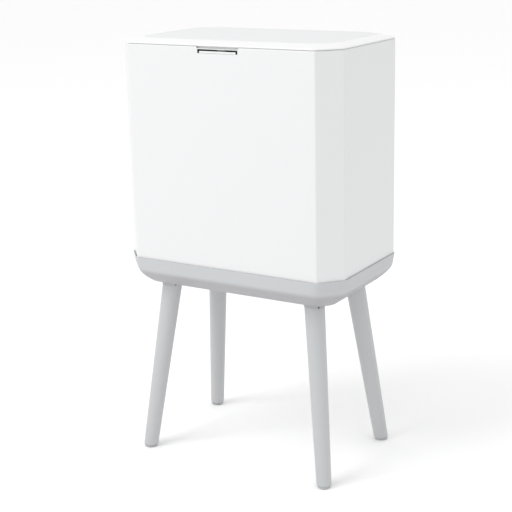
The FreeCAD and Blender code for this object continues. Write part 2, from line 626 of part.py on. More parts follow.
def make_lid_skin():
    """Lid moulding: upright edge, border that slopes up to an inlaid panel, two hinge knuckles."""
    edge_top = LID_Z + LID_EDGE
    plate = sleeve_prism(0.0, LID_CORNER_R, LID_Z, edge_top)
    crown = loft([sleeve_outline(0.0, LID_CORNER_R, edge_top), panel_outline(0.0, LID_TOP_Z)])
    recess = prism(panel_outline(PANEL_JOINT, LID_TOP_Z - PANEL_SHEET), PANEL_SHEET + CUT_OVER)
    hollow_top = LID_TOP_Z - PANEL_SHEET - LID_WALL
    hollow = prism(panel_outline(-LID_HOLLOW_INSET, LID_Z - CUT_OVER), hollow_top - LID_Z + CUT_OVER)
    bosses = [rod_z(x, y, LID_Z - CUT_OVER, hollow_top, 2.0 * SMALL_SCREW_HEAD_R)
              for x, y in liner_screw_places()]
    shapes = [plate.fuse(crown)]
    for _, start in hinge_spans():
        lid0, _, _ = hinge_stations(start)
        x1 = lid0 + LID_KNUCKLE
        shapes.append(rod_x(lid0, x1, HINGE_Y, HINGE_Z, KNUCKLE_R))
        shapes.append(box(lid0, x1, HINGE_Y - KNUCKLE_R, HALF_Y, HINGE_Z, LID_Z + 0.5 * LID_EDGE))
    cuts = [recess, hollow.cut(bosses)]
    for _, start in hinge_spans():
        cuts.append(rod_x(start, start + HINGE_LENGTH, HINGE_Y, HINGE_Z, PIN_R + PIN_GAP))
    for x, y in catch_screw_places():
        cuts.append(rod_z(x, y, LID_Z - CUT_OVER, catch_screw_tip() + FIT_GAP, SMALL_SCREW_R))
    for x, y in liner_screw_places():
        cuts.append(rod_z(x, y, LID_Z - CUT_OVER, liner_screw_tip() + FIT_GAP, SMALL_SCREW_R))
    return join(shapes).cut(cuts)


def panel_outline(grow, z):
    """Outline of the panel inlaid in the lid."""
    points = octagon(-HALF_X + BORDER_SIDE - grow, HALF_X - BORDER_SIDE + grow,
                     -HALF_Y + BORDER_FRONT - grow, HALF_Y - BORDER_BACK + grow,
                     PANEL_CHAMFER, PANEL_CHAMFER)
    return rounded(points, PANEL_R, z)


def make_lid_panel():
    """Flat sheet bonded in the lid's recess."""
    return prism(panel_outline(0.0, LID_TOP_Z - PANEL_SHEET), PANEL_SHEET)


def make_lid_liner():
    """Pan under the lid that closes the frame's opening."""
    low = LID_Z - LINER_DEPTH
    back = LINER_BACK_GAP - LINER_SIDE_GAP

    def outline(inset, z):
        return rounded(octagon(-HALF_X + OPENING_SIDE + inset, HALF_X - OPENING_SIDE - inset,
                               -HALF_Y + OPENING_FRONT + inset, HALF_Y - OPENING_BACK - inset - back,
                               OPENING_CHAMFER, OPENING_CHAMFER), OPENING_R - LINER_WALL, z)

    pan = prism(outline(LINER_SIDE_GAP, low), LID_Z - low)
    hollow = prism(outline(LINER_SIDE_GAP + LINER_WALL, low + LINER_WALL), LINER_DEPTH)
    posts = []
    holes = []
    for x, y in liner_screw_places():
        posts.append(rod_z(x, y, low, LID_Z, 2.0 * SMALL_SCREW_HEAD_R))
        holes.append(rod_z(x, y, low - CUT_OVER, low + LINER_WALL, SMALL_SCREW_HEAD_R + FIT_GAP))
        holes.append(rod_z(x, y, low, LID_Z + CUT_OVER, SMALL_SCREW_R + FIT_GAP))
    return join([pan.cut(hollow)] + posts).cut(holes)


def liner_screw_places():
    """Six screws that hold the liner to the lid."""
    return [(sx * LINER_SCREW_SHARE_X * WIDTH, sy * LINER_SCREW_SHARE_Y * DEPTH)
            for sx in (-1, 0, 1) for sy in (-1, 1)]


def liner_screw_tip():
    """Height of the liner screws' tips, inside the lid."""
    return LID_Z + LID_EDGE


def make_lid_screws():
    """Six screws sunk in the liner."""
    seat = LID_Z - LINER_DEPTH + LINER_WALL
    screws = []
    for x, y in liner_screw_places():
        shank = rod_z(x, y, seat - JOIN_IN, liner_screw_tip(), SMALL_SCREW_R)
        head = rod_z(x, y, seat - SMALL_SCREW_HEAD, seat, SMALL_SCREW_HEAD_R)
        screws.append(join([shank, head]))
    return Part.makeCompound(screws)


def make_lid_catch():
    """Catch under the lid's front edge: foot plate, blade and lip for the hook."""
    foot_y = 0.5 * (CATCH_FRONT_Y + CATCH_BACK_Y)
    foot = box(-CATCH_FOOT_X, CATCH_FOOT_X, foot_y - CATCH_FOOT_AHEAD,
               foot_y - CATCH_FOOT_AHEAD + CATCH_FOOT_Y, LID_Z - CATCH_FOOT, LID_Z)
    blade = box(-NOSE_HALF, NOSE_HALF, CATCH_FRONT_Y, CATCH_BACK_Y, CATCH_LIP_Z, LID_Z)
    lip = box(-NOSE_HALF, NOSE_HALF, CATCH_FRONT_Y, CATCH_LIP_Y, CATCH_LIP_Z, CATCH_LIP_Z + CATCH_LIP_HEIGHT)
    holes = [rod_z(x, y, LID_Z - CATCH_FOOT - CUT_OVER, LID_Z + CUT_OVER, SMALL_SCREW_R + FIT_GAP)
             for x, y in catch_screw_places()]
    return join([foot, blade, lip]).cut(holes)


def catch_screw_places():
    """Two screws in the catch's foot plate."""
    foot_y = 0.5 * (CATCH_FRONT_Y + CATCH_BACK_Y)
    return [(-CATCH_SCREW_X, foot_y), (CATCH_SCREW_X, foot_y)]


def catch_screw_tip():
    """Height of the catch screws' tips, inside the lid."""
    return LID_Z + LID_EDGE


def make_catch_screws():
    """Two rivet-headed screws under the catch's foot plate."""
    screws = []
    for x, y in catch_screw_places():
        shank = rod_z(x, y, LID_Z - CATCH_FOOT, catch_screw_tip(), SMALL_SCREW_R)
        head = rod_z(x, y, LID_Z - CATCH_FOOT - CATCH_SCREW_HEAD, LID_Z - CATCH_FOOT, SMALL_SCREW_HEAD_R)
        screws.append(join([shank, head]))
    return Part.makeCompound(screws)


def make_lid_buffers():
    """Four rubber buttons on the frame that the lid comes down on."""
    x = HALF_X - 0.5 * (OPENING_SIDE + SHEET + TOP_FLANGE)
    return Part.makeCompound([rod_z(sx * x, sy * BUFFER_Y, FRAME_TOP_Z, LID_Z - BUFFER_GAP, BUFFER_R)
                              for sx in (-1, 1) for sy in (-1, 1)])


def make_latch_housing():
    """U-shaped bracket under the frame that holds both latch pins."""
    y0 = BUTTON_PLATE_Y
    y1 = -HALF_Y + OPENING_FRONT - FRAME_SKIRT - HOUSING_END_GAP
    x1 = CHEEK_X + CHEEK_WALL
    cheek_top = SCOOP_LOW_Z - EAR_GAP
    block = box(-x1, x1, y0, y1, HOUSING_LOW_Z, cheek_top)
    hollow = box(-CHEEK_X, CHEEK_X, y0 - CUT_OVER, y1 + CUT_OVER, HOUSING_LOW_Z + HOUSING_FLOOR,
                 cheek_top + CUT_OVER)
    shapes = [block.cut(hollow)]
    ear_top = FRAME_TOP_Z - FRAME_PLATE
    ear_y0 = SCOOP_BACK_Y + SCOOP_WALL + EAR_GAP
    for side in (-1, 1):
        inner = side * CHEEK_X
        outer = side * (x1 + EAR_LENGTH)
        shapes.append(box(min(inner, outer), max(inner, outer), ear_y0, y1, ear_top - EAR_WALL, ear_top))
    holes = [rod_x(-x1 - CUT_OVER, x1 + CUT_OVER, BUTTON_Y, BUTTON_Z, LATCH_PIN_R),
             rod_x(-x1 - CUT_OVER, x1 + CUT_OVER, HOOK_Y, HOOK_Z, LATCH_PIN_R)]
    for x, y in housing_screw_places():
        holes.append(rod_z(x, y, ear_top - EAR_WALL - CUT_OVER, ear_top + CUT_OVER, SMALL_SCREW_R + FIT_GAP))
    return join(shapes).cut(holes)


def housing_screw_places():
    """One screw in each ear of the latch housing."""
    x = CHEEK_X + CHEEK_WALL + 0.5 * EAR_LENGTH
    y = 0.5 * (SCOOP_BACK_Y + SCOOP_WALL - HALF_Y + OPENING_FRONT - FRAME_SKIRT)
    return [(-x, y), (x, y)]


def housing_screw_tip():
    """Height of the housing screws' tips, inside the frame's plate."""
    return FRAME_TOP_Z - HOUSING_TIP


def make_housing_screws():
    """Two screws that hold the latch housing up to the frame."""
    seat = FRAME_TOP_Z - FRAME_PLATE - EAR_WALL
    screws = []
    for x, y in housing_screw_places():
        shank = rod_z(x, y, seat, housing_screw_tip(), SMALL_SCREW_R)
        head = rod_z(x, y, seat - SMALL_SCREW_HEAD, seat, SMALL_SCREW_HEAD_R)
        screws.append(join([shank, head]))
    return Part.makeCompound(screws)


def make_latch_pin(y, z):
    """Steel pin between the housing's cheeks."""
    x1 = CHEEK_X + CHEEK_WALL
    return rod_x(-x1, x1, y, z, LATCH_PIN_R)


def make_release_button():
    """Button: face in the sleeve's cut-out, plate down to the barrel, two ribs to the hook."""
    face = box(-BUTTON_HALF, BUTTON_HALF, -HALF_Y, -HALF_Y + BUTTON_LIP,
               WINDOW_Z + BUTTON_FOOT_GAP, BUTTON_TOP_Z)
    corner_edges = []
    for edge in face.Edges:
        if edge.BoundBox.ZMin > BUTTON_TOP_Z - SMALL or edge.BoundBox.YMax < -HALF_Y + SMALL:
            corner_edges.append(edge)
    face = face.makeFillet(BUTTON_EDGE_R, corner_edges)
    plate = box(-BUTTON_HALF, BUTTON_HALF, BUTTON_PLATE_Y, BUTTON_PLATE_Y + BUTTON_WALL,
                BUTTON_Z, BUTTON_TOP_Z - BUTTON_LIP_HEIGHT)
    plate_back = BUTTON_PLATE_Y + BUTTON_WALL
    web = box(-BUTTON_BARREL_HALF, BUTTON_BARREL_HALF, BUTTON_PLATE_Y, BUTTON_Y,
              BUTTON_Z - 0.5 * BARREL_R, BUTTON_Z + 0.5 * BARREL_R)
    barrel = rod_x(-BUTTON_BARREL_HALF, BUTTON_BARREL_HALF, BUTTON_Y, BUTTON_Z, BARREL_R)
    shapes = [face, plate, web, barrel]
    rib_z = SHELL_TOP_Z - RIB_DROP
    for side in (-1, 1):
        x = side * RIB_X
        shapes.append(box(x - 0.5 * RIB_WIDTH, x + 0.5 * RIB_WIDTH, plate_back - JOIN_IN,
                          HOOK_FACE_Y - RIB_GAP, rib_z, rib_z + RIB_HEIGHT))
    bore = rod_x(-CHEEK_X, CHEEK_X, BUTTON_Y, BUTTON_Z, LATCH_PIN_R + PIN_GAP)
    return join(shapes).cut(bore)


def make_latch_hook():
    """Hook lever: barrel on its pin, wide plate and a nose for the catch."""
    barrel = rod_x(-HOOK_HALF, HOOK_HALF, HOOK_Y, HOOK_Z, BARREL_R)
    plate = box(-HOOK_HALF, HOOK_HALF, HOOK_FACE_Y, HOOK_FACE_Y + HOOK_WALL, HOOK_Z, HOOK_Z + HOOK_HEIGHT)
    nose = box(-NOSE_HALF, NOSE_HALF, NOSE_Y, HOOK_FACE_Y + JOIN_IN, NOSE_Z, NOSE_Z + NOSE_HEIGHT)
    bore = rod_x(-CHEEK_X, CHEEK_X, HOOK_Y, HOOK_Z, LATCH_PIN_R + PIN_GAP)
    return join([barrel, plate, nose]).cut(bore)


def make_latch_spring(x0, y, z):
    """Small return spring on a latch pin: its coil, with the lower leg down to the housing's floor."""
    wound, _, last = coil(x0, LATCH_COIL_LENGTH, y, z, LATCH_COIL_R, LATCH_WIRE_R)
    low = HOUSING_LOW_Z + HOUSING_FLOOR + FIT_GAP
    leg = Part.makeCylinder(LATCH_WIRE_R, z - low, Vec(last, y + LATCH_COIL_R, low), Vec(0, 0, 1))
    return join([wound, leg])


def make_inner_bucket():
    """Loose bucket with tapered sides, a flange and two finger grips."""
    top_z = SHELL_TOP_Z - BUCKET_TOP_DROP
    x1 = HALF_X - OPENING_SIDE - BUCKET_CLEAR
    y0 = -HALF_Y + OPENING_FRONT + BUCKET_CLEAR
    y1 = HALF_Y - OPENING_BACK - BUCKET_CLEAR

    def outline(inset, z):
        return rounded(octagon(-x1 + inset, x1 - inset, y0 + inset, y1 - inset,
                               BUCKET_CHAMFER, BUCKET_CHAMFER), BUCKET_R, z)

    flange = prism(outline(0.0, top_z - BUCKET_FLANGE_T), BUCKET_FLANGE_T)
    foot = BUCKET_FLANGE + BUCKET_TAPER
    outer = loft([outline(foot, PANEL_TOP_Z), outline(BUCKET_FLANGE, top_z)])
    inner = loft([outline(foot + BUCKET_WALL, PANEL_TOP_Z + BUCKET_WALL),
                  outline(BUCKET_FLANGE + BUCKET_WALL, top_z + TOP_OVER)])
    grip_z = top_z - BUCKET_FLANGE_T - CUT_OVER
    grips = [box(x1 - GRIP_DEPTH, x1 + CUT_OVER, -GRIP_HALF, GRIP_HALF, grip_z, top_z + CUT_OVER),
             box(-x1 - CUT_OVER, -x1 + GRIP_DEPTH, -GRIP_HALF, GRIP_HALF, grip_z, top_z + CUT_OVER)]
    return outer.fuse(flange).cut([inner] + grips).removeSplitter()


def main():
    """Build and write every piece."""
    os.makedirs("parts", exist_ok=True)
    export(make_body_shell(), "body_shell")
    export(make_base_tray(), "base_tray")
    export(make_floor_panel(), "floor_panel")
    export(make_base_screws(), "base_screws")
    for name, sx, sy in corners():
        export(make_leg(sx, sy), "leg_" + name)
        export(make_pad(sx, sy), "foot_pad_" + name)
    export(make_leg_bolts(), "leg_bolts")
    export(make_top_frame(), "top_frame")
    export(make_lid_buffers(), "lid_buffers")
    export(make_inner_bucket(), "inner_bucket")
    export(make_lid_skin(), "lid_skin")
    export(make_lid_panel(), "lid_panel")
    export(make_lid_liner(), "lid_liner")
    export(make_lid_screws(), "lid_screws")
    export(make_lid_catch(), "lid_catch")
    export(make_catch_screws(), "catch_screws")
    for side, start in hinge_spans():
        export(make_hinge_pin(start), "hinge_pin_" + side)
        export(make_lid_spring(start), "lid_spring_" + side)
    export(make_latch_housing(), "latch_housing")
    export(make_housing_screws(), "housing_screws")
    export(make_latch_pin(BUTTON_Y, BUTTON_Z), "button_pin")
    export(make_latch_pin(HOOK_Y, HOOK_Z), "hook_pin")
    export(make_release_button(), "release_button")
    export(make_latch_hook(), "latch_hook")
    export(make_latch_spring(BUTTON_BARREL_HALF + LATCH_COIL_GAP, BUTTON_Y, BUTTON_Z), "button_spring")
    export(make_latch_spring(HOOK_HALF + LATCH_COIL_GAP, HOOK_Y, HOOK_Z), "hook_spring")


main()
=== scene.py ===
import math

import bpy
from mathutils import Matrix, Vector


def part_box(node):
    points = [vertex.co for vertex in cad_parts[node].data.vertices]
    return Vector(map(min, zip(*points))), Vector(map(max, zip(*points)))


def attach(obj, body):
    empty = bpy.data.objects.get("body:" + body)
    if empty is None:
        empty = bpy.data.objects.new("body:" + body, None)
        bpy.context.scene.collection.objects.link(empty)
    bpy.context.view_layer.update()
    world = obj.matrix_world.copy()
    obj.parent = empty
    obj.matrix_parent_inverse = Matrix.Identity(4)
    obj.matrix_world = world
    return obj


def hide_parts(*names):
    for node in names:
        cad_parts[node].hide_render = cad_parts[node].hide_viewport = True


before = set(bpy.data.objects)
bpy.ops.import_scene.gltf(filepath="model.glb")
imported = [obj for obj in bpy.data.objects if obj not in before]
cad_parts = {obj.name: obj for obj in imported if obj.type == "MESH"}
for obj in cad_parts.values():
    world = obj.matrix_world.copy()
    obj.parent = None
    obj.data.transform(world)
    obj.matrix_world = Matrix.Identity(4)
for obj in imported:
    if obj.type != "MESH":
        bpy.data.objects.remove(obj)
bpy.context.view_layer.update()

# ---- Legs ------------------------------------------------------------------------------------------
# Four turned legs, tapered and splayed, painted in satin grey. Each plugs into a collar under the
# tray and is pulled up by a bolt from inside. A rubber pad finishes the foot.

LEG_TOP = Vector((0.137, 0.072))        # leg axis under its collar
LEG_FOOT = Vector((0.171, 0.108))       # leg axis on the floor
LEG_TOP_RADIUS = 0.0165
LEG_FOOT_RADIUS = 0.0122
LEG_EDGE_SOFT = 0.0022
PAD_EDGE_SOFT = 0.0028
PAD_SETBACK = 0.0011                    # pad's side in from the leg's
LEG_SIDES = 64
EDGE_STEPS = 6
SHAFT_STEPS = 12
COLLAR_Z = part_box("base_tray")[0].z       # underside of the collars, where the legs begin
CORNERS = (("front_left", -1, -1), ("front_right", 1, -1), ("rear_left", -1, 1), ("rear_right", 1, 1))


class Shade:
    """One shader socket that takes part in arithmetic, inside its material's node tree."""

    def __init__(self, tree, socket):
        self.tree = tree
        self.socket = socket

    def maths(self, operation, first, second):
        node = self.tree.nodes.new("ShaderNodeMath")
        node.operation = operation
        for slot, value in zip(node.inputs, (first, second)):
            if isinstance(value, Shade):
                self.tree.links.new(value.socket, slot)
            else:
                slot.default_value = value
        return Shade(self.tree, node.outputs[0])

    def __add__(self, other):
        return self.maths("ADD", self, other)

    def __radd__(self, other):
        return self.maths("ADD", other, self)

    def __sub__(self, other):
        return self.maths("SUBTRACT", self, other)

    def __rsub__(self, other):
        return self.maths("SUBTRACT", other, self)

    def __mul__(self, other):
        return self.maths("MULTIPLY", self, other)

    def __rmul__(self, other):
        return self.maths("MULTIPLY", other, self)


class Finish:
    """A material with one shader, and one method that adds every other kind of node."""

    def __init__(self, name, **constants):
        self.material = bpy.data.materials.new(name)
        self.material.use_nodes = True
        self.tree = self.material.node_tree
        self.shader = self.tree.nodes["Principled BSDF"]
        for words, value in constants.items():
            self.shader.inputs[words.replace("_", " ").title().replace("Ior", "IOR")].default_value = value

    def add(self, kind, settings=None, inputs=None, output=0):
        node = self.tree.nodes.new(kind)
        for name, value in (settings or {}).items():
            setattr(node, name, value)
        for name, value in (inputs or {}).items():
            if isinstance(value, Shade):
                self.tree.links.new(value.socket, node.inputs[name])
            else:
                node.inputs[name].default_value = value
        return Shade(self.tree, node.outputs[output])

    def feed(self, name, shade):
        self.tree.links.new(shade.socket, self.shader.inputs[name])

    def place(self):
        return self.add("ShaderNodeTexCoord", output="Object")

    def noise(self, scale, detail=2.0, stretch=None):
        where = self.place()
        if stretch:
            where = self.add("ShaderNodeVectorMath", {"operation": "MULTIPLY"}, {0: where, 1: stretch})
        return self.add("ShaderNodeTexNoise", inputs={"Vector": where, "Scale": scale, "Detail": detail})

    def tint(self, dark, light, amount):
        return self.add("ShaderNodeMix", {"data_type": "RGBA"}, {0: amount, 6: dark, 7: light}, output=2)

    def bump(self, height, strength, distance):
        return self.add("ShaderNodeBump", inputs={"Height": height, "Strength": strength,
                                                  "Distance": distance})


def grey(value, warmth=0.0):
    """Neutral colour, a little warmer or cooler."""
    return (value * (1 + warmth), value, value * (1 - warmth), 1.0)


def shaded(colour, factor):
    """The same colour, lighter or darker."""
    return tuple(min(1.0, part * factor) for part in colour[:3]) + (1.0,)


def coated(name, colour, roughness, spread, grain_scale, grain_depth, painted_shade_band=None, **constants):
    """Painted, lacquered or moulded surface: faint mottling, uneven gloss and a fine grain.

    The shade band, when given, is painted shade below a height: a darker colour, the height where it begins
    and the height it fades over.
    """
    finish = Finish(name, **constants)
    cloud = finish.noise(9.0, 3.0)
    grain = finish.noise(grain_scale, 3.0)
    base = finish.tint(shaded(colour, 1.0 - spread), shaded(colour, 1.0 + spread), cloud)
    if painted_shade_band:
        # Painted shade: below the given height the colour turns to the darker shade colour, not a second
        # paint.
        second, edge, fade = painted_shade_band
        height = finish.add("ShaderNodeSeparateXYZ", inputs={0: finish.place()}, output=2)
        shade_mask = finish.add("ShaderNodeMath", {"operation": "MULTIPLY", "use_clamp": True},
                           {0: edge - height, 1: 1.0 / fade})
        shade_tone = finish.tint(shaded(second, 1.0 - spread), shaded(second, 1.0 + spread), cloud)
        base = finish.tint(base, shade_tone, shade_mask)
    finish.feed("Base Color", base)
    finish.feed("Roughness", roughness + (grain - 0.5) * 0.08 + (cloud - 0.5) * 0.06)
    finish.feed("Normal", finish.bump(grain, 0.25, grain_depth))
    return finish.material


def build(name, points, faces, material, sharp=32.0):
    """Mesh object with smooth shading, kept sharp where faces meet at more than an angle."""
    mesh = bpy.data.meshes.new(name)
    mesh.from_pydata([tuple(point) for point in points], [], faces)
    mesh.validate()
    mesh.polygons.foreach_set("use_smooth", [True] * len(mesh.polygons))
    mesh.set_sharp_from_angle(angle=math.radians(sharp))
    mesh.materials.append(material)
    piece = bpy.data.objects.new(name, mesh)
    bpy.context.scene.collection.objects.link(piece)
    return piece


def skin(rings, closed=True):
    """Points and faces of a surface through rings of equal count, with flat ends where closed."""
    count = len(rings[0])
    points = [point for ring in rings for point in ring]
    faces = []
    for level in range(len(rings) - 1):
        low = level * count
        high = low + count
        for i in range(count):
            j = (i + 1) % count
            faces.append((low + i, low + j, high + j, high + i))
    if closed:
        faces.append(tuple(reversed(range(count))))
        faces.append(tuple(range(len(points) - count, len(points))))
    return points, faces


def leg_ring(sx, sy, z, radius):
    """Level section of a splayed round leg: a circle, a little longer along the splay."""
    run = LEG_FOOT - LEG_TOP
    along = Vector((sx * run.x, sy * run.y))
    lean = along.length / COLLAR_Z
    along.normalize()
    across = Vector((-along.y, along.x))
    centre = Vector((sx * LEG_TOP.x, sy * LEG_TOP.y)) + along * (lean * (COLLAR_Z - z))
    stretch = math.sqrt(1.0 + lean * lean)
    ring = []
    for i in range(LEG_SIDES):
        angle = 2.0 * math.pi * i / LEG_SIDES
        spot = centre + along * (radius * stretch * math.cos(angle)) + across * (radius * math.sin(angle))
        ring.append((spot.x, spot.y, z))
    return ring


def leg_radius(z):
    return LEG_FOOT_RADIUS + (LEG_TOP_RADIUS - LEG_FOOT_RADIUS) * z / COLLAR_Z


def soft_end(sx, sy, start_z, soft, setback):
    """Rings of the quarter-round edge at a leg's or a pad's lower end."""
    rings = []
    for step in range(EDGE_STEPS + 1):
        angle = 0.5 * math.pi * step / EDGE_STEPS
        inset = soft * (1.0 - math.sin(angle)) + setback
        z = start_z + soft * (1.0 - math.cos(angle))
        rings.append(leg_ring(sx, sy, z, leg_radius(z) - inset))
    return rings


leg_paint = coated("leg_paint", grey(0.472, -0.024), 0.42, 0.02, 1500.0, 0.00004, coat_weight=0.12,
                   coat_roughness=0.3)
pad_rubber = coated("pad_rubber", grey(0.43, -0.018), 0.62, 0.05, 2600.0, 0.00008)

for corner, sx, sy in CORNERS:
    pad_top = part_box("foot_pad_" + corner)[1].z
    rings = soft_end(sx, sy, pad_top, LEG_EDGE_SOFT, 0.0)
    for step in range(1, SHAFT_STEPS + 1):
        z = pad_top + LEG_EDGE_SOFT + (COLLAR_Z - pad_top - LEG_EDGE_SOFT) * step / SHAFT_STEPS
        rings.append(leg_ring(sx, sy, z, leg_radius(z)))
    leg = build("turned_leg_" + corner, *skin(rings), leg_paint)
    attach(leg, "cabinet")
    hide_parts("leg_" + corner)

    rings = soft_end(sx, sy, 0.0, PAD_EDGE_SOFT, PAD_SETBACK)
    rings.append(leg_ring(sx, sy, pad_top, leg_radius(pad_top) - PAD_SETBACK))
    pad = build("rubber_foot_" + corner, *skin(rings), pad_rubber)
    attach(pad, "cabinet")
    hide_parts("foot_pad_" + corner)


def wear(node, material):
    """Give a frame piece its finish."""
    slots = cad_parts[node].data.materials
    slots.clear()
    slots.append(material)


def bright_metal(name, colour, roughness, stretch):
    """Plated steel with faint drawn lines along one direction."""
    finish = Finish(name, metallic=1.0)
    lines = finish.noise(900.0, 4.0, stretch)
    cloud = finish.noise(60.0, 3.0)
    finish.feed("Base Color", finish.tint(shaded(colour, 0.88), shaded(colour, 1.08), cloud))
    finish.feed("Roughness", roughness + (lines - 0.5) * 0.22)
    finish.feed("Normal", finish.bump(lines, 0.3, 0.00003))
    return finish.material


zinc = bright_metal("zinc", grey(0.62, -0.01), 0.34, (1.0, 1.0, 0.08))
wear("leg_bolts", zinc)

# ---- Base tray -------------------------------------------------------------------------------------
# Grey moulded tray that the sleeve stands in. A proud rim, an upright band, a crease and a slanted
# lower band run round it. The crease fades into a rounded hull at the corners.

HALF_X = 0.200
HALF_Y = 0.125
CHAMFER_X = 0.031
CHAMFER_Y = 0.0345
ARC_STEPS = 10
STRAIGHT_STEPS = (26, 14, 16, 14)       # front, corner, side, corner, and the same again


def cut_corners(x0, x1, y0, y1, cut_x, cut_y):
    """Rectangle with cut corners, as points in order from the front's left end."""
    return [(x0 + cut_x, y0), (x1 - cut_x, y0), (x1, y0 + cut_y), (x1, y1 - cut_y),
            (x1 - cut_x, y1), (x0 + cut_x, y1), (x0, y1 - cut_y), (x0, y0 + cut_y)]


def rounded(points, radius):
    """Plan outline with rounded corners. Every outline has the same number of points in each part."""
    starts = []
    ends = []
    centres = []
    count = len(points)
    for i in range(count):
        here = Vector(points[i])
        back = (Vector(points[i - 1]) - here).normalized()
        on = (Vector(points[(i + 1) % count]) - here).normalized()
        half = back.angle(on) / 2.0
        reach = radius / math.tan(half)
        starts.append(here + back * reach)
        ends.append(here + on * reach)
        centres.append(here + (back + on).normalized() * (radius / math.sin(half)))
    outline = []
    for i in range(count):
        first = starts[i] - centres[i]
        last = ends[i] - centres[i]
        turn = first.angle(last) if first.length > 1e-9 else 0.0
        for step in range(ARC_STEPS):
            angle = turn * step / ARC_STEPS
            spin = Matrix.Rotation(angle, 2)
            outline.append(centres[i] + spin @ first)
        run = starts[(i + 1) % count] - ends[i]
        steps = STRAIGHT_STEPS[i % 4]
        for step in range(steps):
            outline.append(ends[i] + run * (step / steps))
    return outline


def sleeve_line(grow, radius):
    """The sleeve's plan outline, moved out by grow on every face."""
    slant = math.hypot(CHAMFER_X, CHAMFER_Y)
    cut_x = CHAMFER_X + grow * (1.0 + (CHAMFER_X - slant) / CHAMFER_Y)
    cut_y = CHAMFER_Y + grow * (1.0 + (CHAMFER_Y - slant) / CHAMFER_X)
    x1 = HALF_X + grow
    y1 = HALF_Y + grow
    return rounded(cut_corners(-x1, x1, -y1, y1, cut_x, cut_y), radius)


def level(outline, z):
    return [(point.x, point.y, z) for point in outline]


def ease(value):
    value = min(1.0, max(0.0, value))
    return value * value * (3.0 - 2.0 * value)


SEAM_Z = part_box("base_tray")[1].z
UPPER_BAND = 0.0225
LOWER_BAND = 0.026
CREASE_Z = SEAM_Z - UPPER_BAND
BELLY_Z = CREASE_Z - LOWER_BAND
RIM_PROUD = 0.0025
CREASE_PROUD = 0.0005
BELLY_INSET = 0.027
BELLY_REACH = 0.020         # flat underside that the profile ends on
CREASE_SOFT = 0.0035
RIM_SOFT = 0.0009
BELLY_SOFT = 0.004
RIM_GAP = 0.0012
TRAY_RADIUS = 0.018
TRAY_RADIUS_MORE = 0.006    # added to the plan radius by the time the underside is reached
FADE_START_X = 0.040        # where the crease starts to fade, in from the chamfer
FADE_LENGTH_X = 0.060
FADE_START_Y = 0.030
FADE_LENGTH_Y = 0.050
LEDGE_Z = SEAM_Z - 0.006
LEDGE_UNDER_Z = SEAM_Z - 0.011
LEDGE_INSET = 0.022
TRAY_WALL = 0.004
TRAY_FLOOR = 0.003


def bend(before, corner, after, size, steps):
    """Points of a soft bend that replaces one corner of a profile."""
    first = corner + (before - corner).normalized() * size
    last = corner + (after - corner).normalized() * size
    spots = []
    for step in range(steps + 1):
        t = step / steps
        spots.append(first * (1 - t) ** 2 + corner * (2 * t * (1 - t)) + last * t ** 2)
    return spots


def along_profile(spots, count):
    """The same profile with a given number of evenly spaced points."""
    lengths = [0.0]
    for before, after in zip(spots, spots[1:]):
        lengths.append(lengths[-1] + (after - before).length)
    result = []
    place = 0
    for i in range(count):
        goal = lengths[-1] * i / (count - 1)
        while place < len(lengths) - 2 and lengths[place + 1] < goal:
            place += 1
        span = lengths[place + 1] - lengths[place]
        t = (goal - lengths[place]) / span if span > 0 else 0.0
        result.append(spots[place].lerp(spots[place + 1], t))
    return result


rim_in = Vector((RIM_GAP, SEAM_Z))
rim_out = Vector((RIM_PROUD, SEAM_Z))
crease = Vector((CREASE_PROUD, CREASE_Z))
belly = Vector((-BELLY_INSET, BELLY_Z))
belly_in = Vector((-BELLY_INSET - BELLY_REACH, BELLY_Z))
folded = ([rim_in] + bend(rim_in, rim_out, crease, RIM_SOFT, 4) + bend(rim_out, crease, belly, CREASE_SOFT, 6)
          + bend(crease, belly, belly_in, BELLY_SOFT, 6) + [belly_in])
hull_side = Vector((CREASE_PROUD + 0.0002, CREASE_Z + 0.012))
hull_turn = Vector((-0.0035, CREASE_Z - 0.008))
HULL_SOFT = 0.0165
HULL_BELLY_SOFT = 0.007
hull = ([rim_in] + bend(rim_in, rim_out, hull_side, RIM_SOFT, 4)
        + bend(hull_side, hull_turn, belly, HULL_SOFT, 10)
        + bend(hull_turn, belly, belly_in, HULL_BELLY_SOFT, 6) + [belly_in])
PROFILE_POINTS = 60
folded = along_profile(folded, PROFILE_POINTS)
hull = along_profile(hull, PROFILE_POINTS)


def corner_weight(x, y):
    """1 on the chamfered corners, falling to 0 along the straight sides."""
    near_x = ease((abs(x) - (HALF_X - CHAMFER_X - FADE_START_X)) / FADE_LENGTH_X)
    near_y = ease((abs(y) - (HALF_Y - CHAMFER_Y - FADE_START_Y)) / FADE_LENGTH_Y)
    return near_x * near_y


def tray_radius(grow):
    """Plan radius of the tray's corners, larger toward the underside."""
    return TRAY_RADIUS + TRAY_RADIUS_MORE * min(1.0, max(0.0, -grow / BELLY_INSET))


tray_rings = []
base_line = sleeve_line(0.0, TRAY_RADIUS)
weights = [corner_weight(point.x, point.y) for point in base_line]
for crisp, soft in zip(folded, hull):
    crisp_line = sleeve_line(crisp.x, tray_radius(crisp.x))
    soft_line = sleeve_line(soft.x, tray_radius(soft.x))
    ring = []
    for a, b, weight in zip(crisp_line, soft_line, weights):
        spot = a.lerp(b, weight)
        ring.append((spot.x, spot.y, crisp.y + (soft.y - crisp.y) * weight))
    tray_rings.append(ring)
inner_rings = []
for grow, z in ((RIM_GAP, LEDGE_Z), (-LEDGE_INSET, LEDGE_Z), (-LEDGE_INSET, LEDGE_UNDER_Z),
                (-TRAY_WALL, LEDGE_UNDER_Z), (-TRAY_WALL, CREASE_Z), (-0.0275, BELLY_Z + TRAY_FLOOR)):
    inner_rings.append(level(sleeve_line(grow, tray_radius(grow)), z))
